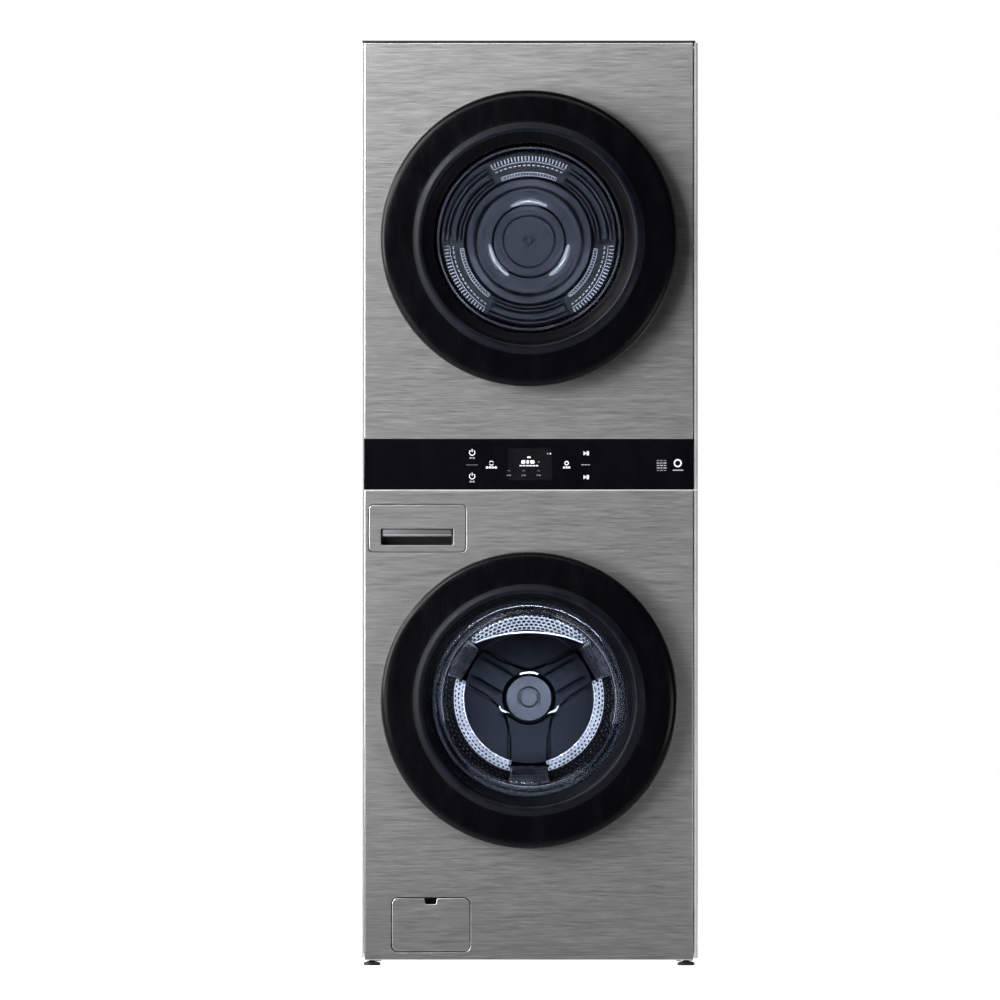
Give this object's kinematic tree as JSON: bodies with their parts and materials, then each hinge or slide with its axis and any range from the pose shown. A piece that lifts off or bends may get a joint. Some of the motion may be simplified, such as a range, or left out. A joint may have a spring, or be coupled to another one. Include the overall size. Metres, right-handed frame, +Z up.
{
  "type": "washer dryer stack",
  "caption": "Tall cabinet with a front-loading washer below and a dryer above, round dark dished glass doors, a black glass control band between them, a detergent drawer and levelling feet.",
  "frame": {"origin": "on the floor, under the middle of the bounding box", "axes": "+Z up, the doors face -Y, +X to the right of somebody who faces the doors"},
  "size_m": [0.69, 0.772, 1.89],
  "materials": {
    "stainless": "horizontal brushing, satin",
    "side_paint": "satin grey paint",
    "black_paint": "satin black",
    "galvanised": "galvanised sheet",
    "black_glass": "polished, back-painted black",
    "tinted_glass": "polished, dark tint",
    "clear_glass": "polished",
    "black_plastic": "fine texture",
    "grey_plastic": "moulded",
    "white_plastic": "moulded",
    "board": "circuit board",
    "drum_steel": "polished stainless, embossed and perforated",
    "lifter_plastic": "moulded",
    "bright_steel": "zinc plated",
    "cast_metal": "die cast",
    "magnet_steel": "zinc grey",
    "windings": "lacquered copper windings",
    "ballast": "cast concrete",
    "fins": "thin fins",
    "seal_rubber": "moulded grey rubber",
    "belt_rubber": "ribbed belt",
    "foot_mix": "rubber pad"
  },
  "bodies": {
    "cabinet": {"base_frame": "galvanised", "lower_left_side": "side_paint", "lower_right_side": "side_paint", "upper_left_side": "side_paint", "upper_right_side": "side_paint", "washer_front_panel": "stainless", "dryer_front_panel": "stainless", "control_housing": "black_plastic", "control_glass": "black_glass", "control_board": "board", "top_cover": "black_paint", "washer_rear_panel": "galvanised", "dryer_rear_panel": "galvanised", "dryer_base": "grey_plastic", "hinge_brackets": "bright_steel", "washer_door_lock": "black_plastic", "dispenser_housing": "grey_plastic", "inlet_valves": "black_plastic", "drain_outlet": "black_plastic", "drain_pump": "black_plastic", "damper_cylinders": "black_plastic", "suspension_springs": "bright_steel", "dryer_front_bulkhead": "grey_plastic", "dryer_motor": "magnet_steel", "compressor": "black_paint", "heat_exchangers": "fins", "dryer_belt": "belt_rubber", "rear_screws": "bright_steel"},
    "washer_door": {"washer_door_cover": "tinted_glass", "washer_door_frame": "black_plastic", "washer_door_bowl": "clear_glass", "washer_door_hinge": "bright_steel"},
    "washer_latch": {"washer_latch_hook": "bright_steel"},
    "dryer_door": {"dryer_door_cover": "tinted_glass", "dryer_door_frame": "black_plastic", "dryer_door_bowl": "clear_glass", "dryer_door_hinge": "bright_steel"},
    "washer_tub": {"tub_rear": "grey_plastic", "tub_front": "grey_plastic", "door_gasket": "seal_rubber", "counterweights": "ballast", "stator": "windings", "tub_bearings": "bright_steel", "damper_rods": "bright_steel"},
    "washer_drum": {"washer_drum": "drum_steel", "washer_lifters": "lifter_plastic", "drum_spider": "cast_metal", "rotor": "magnet_steel"},
    "dryer_drum": {"dryer_drum": "drum_steel", "dryer_lifters": "lifter_plastic"},
    "motor_rotor": {"motor_rotor": "cast_metal"},
    "drawer": {"drawer_front": "stainless", "drawer_tray": "white_plastic"},
    "drain_cover": {"drain_cover": "stainless"},
    "drain_filter": {"drain_filter": "white_plastic"},
    "lint_filter": {"lint_filter": "white_plastic"},
    "foot_front_left": {"foot_front_left": "foot_mix"},
    "foot_front_right": {"foot_front_right": "foot_mix"},
    "foot_rear_left": {"foot_rear_left": "foot_mix"},
    "foot_rear_right": {"foot_rear_right": "foot_mix"}
  },
  "joints": [
    {"name": "washer_door_hinge", "type": "hinge", "parent": "cabinet", "child": "washer_door", "pos_m": [-0.285, -0.359, 0.543], "axis": [0, 0, -1], "range_deg": [0, 115]},
    {"name": "washer_latch_pivot", "type": "hinge", "parent": "washer_door", "child": "washer_latch", "pos_m": [0.262, -0.344, 0.543], "axis": [0, 0, -1], "range_deg": [0, 9], "stiffness_Nm_per_rad": 0.5},
    {"name": "dryer_door_hinge", "type": "hinge", "parent": "cabinet", "child": "dryer_door", "pos_m": [-0.285, -0.359, 1.486], "axis": [0, 0, -1], "range_deg": [0, 115]},
    {"name": "tub_suspension", "type": "slide", "parent": "cabinet", "child": "washer_tub", "axis": [0, 0, 1], "range_m": [-0.01, 0.01], "stiffness_N_per_m": 12000, "springref_m": 0.05069, "deforming": ["suspension_springs", "door_gasket"]},
    {"name": "washer_drum_spin", "type": "hinge", "parent": "washer_tub", "child": "washer_drum", "pos_m": [0, 0, 0.543], "axis": [0, 1, 0], "continuous": true},
    {"name": "dryer_drum_spin", "type": "hinge", "parent": "cabinet", "child": "dryer_drum", "pos_m": [0, 0, 1.486], "axis": [0, 1, 0], "continuous": true},
    {"name": "motor_spin", "type": "hinge", "parent": "cabinet", "child": "motor_rotor", "pos_m": [-0.19, 0.1, 1.085], "axis": [0, 1, 0], "continuous": true},
    {"name": "drawer_slide", "type": "slide", "parent": "cabinet", "child": "drawer", "axis": [0, -1, 0], "range_m": [0, 0.26]},
    {"name": "drain_cover_hinge", "type": "hinge", "parent": "cabinet", "child": "drain_cover", "pos_m": [-0.2005, -0.325, 0.0445], "axis": [1, 0, 0], "range_deg": [0, 88]},
    {"name": "drain_filter_twist", "type": "hinge", "parent": "cabinet", "child": "drain_filter", "pos_m": [-0.2005, -0.304, 0.0839], "axis": [0, 1, 0], "range_deg": [0, 90]},
    {"name": "lint_filter_slide", "type": "slide", "parent": "cabinet", "child": "lint_filter", "axis": [0, 0, 1], "range_m": [0, 0.19]},
    {"name": "foot_front_left_screw", "type": "slide", "parent": "cabinet", "child": "foot_front_left", "axis": [0, 0, -1], "range_m": [0, 0.02]},
    {"name": "foot_front_right_screw", "type": "slide", "parent": "cabinet", "child": "foot_front_right", "axis": [0, 0, -1], "range_m": [0, 0.02]},
    {"name": "foot_rear_left_screw", "type": "slide", "parent": "cabinet", "child": "foot_rear_left", "axis": [0, 0, -1], "range_m": [0, 0.02]},
    {"name": "foot_rear_right_screw", "type": "slide", "parent": "cabinet", "child": "foot_rear_right", "axis": [0, 0, -1], "range_m": [0, 0.02]}
  ],
  "couplings": [
    {"joint": "motor_spin", "follows": "dryer_drum_spin", "ratio": 22.275}
  ]
}
